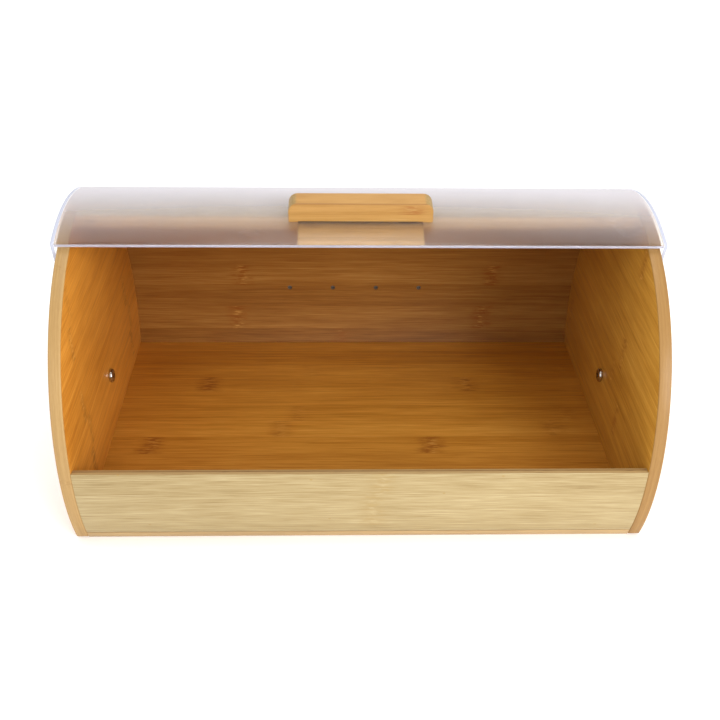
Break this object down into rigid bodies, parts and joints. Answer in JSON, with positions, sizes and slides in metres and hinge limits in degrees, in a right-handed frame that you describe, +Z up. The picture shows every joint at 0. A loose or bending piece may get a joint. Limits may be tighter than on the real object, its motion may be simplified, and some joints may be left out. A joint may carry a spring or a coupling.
{
  "type": "bread box with roll top",
  "caption": "Bamboo bread box with round sides, a low bent front board and a frosted clear curved lid that turns back on side pivots.",
  "frame": {"origin": "on the surface the box stands on, under the middle of the lid's hinge axis, which is also the middle of the box's length and depth", "axes": "+Z up, -Y towards the open front and the handle, +X to the right along the hinge axis"},
  "size_m": [0.4002, 0.264, 0.2012],
  "materials": {
    "side_bamboo": "clear lacquer",
    "floor_bamboo": "clear lacquer",
    "front_plywood": "clear lacquer",
    "back_plywood": "clear lacquer",
    "handle_bamboo": "clear lacquer",
    "strip_wood": "plain",
    "frosted_acrylic": "frosted, polished edges",
    "clear_acrylic": "clear, polished edges",
    "bright_steel": "polished",
    "screw_steel": "plain",
    "ring_plastic": "plain"
  },
  "bodies": {
    "case": {"side_panel_left": "side_bamboo", "side_panel_right": "side_bamboo", "floor_board": "floor_bamboo", "front_board": "front_plywood", "back_board": "back_plywood", "pivot_screw_left": "bright_steel", "pivot_screw_right": "bright_steel", "pivot_nut_left": "bright_steel", "pivot_nut_right": "bright_steel", "pivot_spacer_left": "ring_plastic", "pivot_spacer_right": "ring_plastic", "pivot_washer_left": "ring_plastic", "pivot_washer_right": "ring_plastic"},
    "lid": {"lid_shell": "frosted_acrylic", "lid_cheek_left": "clear_acrylic", "lid_cheek_right": "clear_acrylic", "lid_handle": "handle_bamboo", "handle_backing_strip": "strip_wood", "handle_screw_left": "screw_steel", "handle_screw_right": "screw_steel"}
  },
  "joints": [
    {"name": "lid_hinge", "type": "hinge", "parent": "case", "child": "lid", "pos_m": [0, 0, 0.052], "axis": [1, 0, 0], "range_deg": [0, 67.8]}
  ]
}
